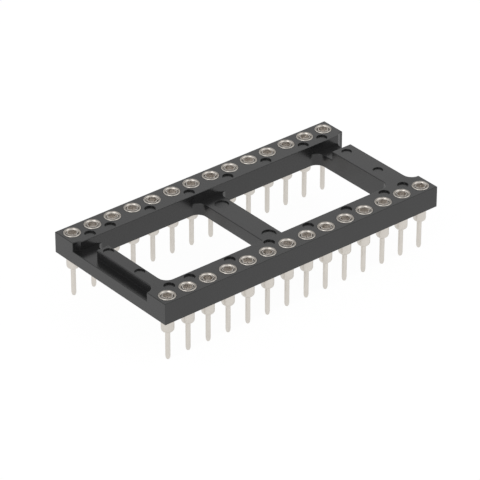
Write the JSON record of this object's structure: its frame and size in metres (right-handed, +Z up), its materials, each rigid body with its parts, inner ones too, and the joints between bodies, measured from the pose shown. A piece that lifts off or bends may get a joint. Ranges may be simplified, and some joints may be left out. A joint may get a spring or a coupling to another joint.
{
  "type": "dual in-line ic socket",
  "caption": "Open-frame dual in-line socket: a moulded ladder frame carries two rows of turned contacts with round solder tails and spring clips for a chip's leads.",
  "frame": {"origin": "centre of the tail pattern, at the height of the shoulders that stand on the board", "axes": "+X along the rows from contact 1 to contact 14, +Y from that row to the other, +Z up out of the board"},
  "size_m": [0.0354, 0.0176, 0.0075],
  "materials": {
    "frame_plastic": "satin moulded, dark grey",
    "tin_plate": "turned brass under matt tin plate",
    "gold_plate": "copper alloy spring under gold plate"
  },
  "bodies": {
    "root": {"insulator": "frame_plastic", "contact_01_sleeve": "tin_plate", "contact_01_clip": "gold_plate", "contact_02_sleeve": "tin_plate", "contact_02_clip": "gold_plate", "contact_03_sleeve": "tin_plate", "contact_03_clip": "gold_plate", "contact_04_sleeve": "tin_plate", "contact_04_clip": "gold_plate", "contact_05_sleeve": "tin_plate", "contact_05_clip": "gold_plate", "contact_06_sleeve": "tin_plate", "contact_06_clip": "gold_plate", "contact_07_sleeve": "tin_plate", "contact_07_clip": "gold_plate", "contact_08_sleeve": "tin_plate", "contact_08_clip": "gold_plate", "contact_09_sleeve": "tin_plate", "contact_09_clip": "gold_plate", "contact_10_sleeve": "tin_plate", "contact_10_clip": "gold_plate", "contact_11_sleeve": "tin_plate", "contact_11_clip": "gold_plate", "contact_12_sleeve": "tin_plate", "contact_12_clip": "gold_plate", "contact_13_sleeve": "tin_plate", "contact_13_clip": "gold_plate", "contact_14_sleeve": "tin_plate", "contact_14_clip": "gold_plate", "contact_15_sleeve": "tin_plate", "contact_15_clip": "gold_plate", "contact_16_sleeve": "tin_plate", "contact_16_clip": "gold_plate", "contact_17_sleeve": "tin_plate", "contact_17_clip": "gold_plate", "contact_18_sleeve": "tin_plate", "contact_18_clip": "gold_plate", "contact_19_sleeve": "tin_plate", "contact_19_clip": "gold_plate", "contact_20_sleeve": "tin_plate", "contact_20_clip": "gold_plate", "contact_21_sleeve": "tin_plate", "contact_21_clip": "gold_plate", "contact_22_sleeve": "tin_plate", "contact_22_clip": "gold_plate", "contact_23_sleeve": "tin_plate", "contact_23_clip": "gold_plate", "contact_24_sleeve": "tin_plate", "contact_24_clip": "gold_plate", "contact_25_sleeve": "tin_plate", "contact_25_clip": "gold_plate", "contact_26_sleeve": "tin_plate", "contact_26_clip": "gold_plate", "contact_27_sleeve": "tin_plate", "contact_27_clip": "gold_plate", "contact_28_sleeve": "tin_plate", "contact_28_clip": "gold_plate"}
  },
  "joints": []
}
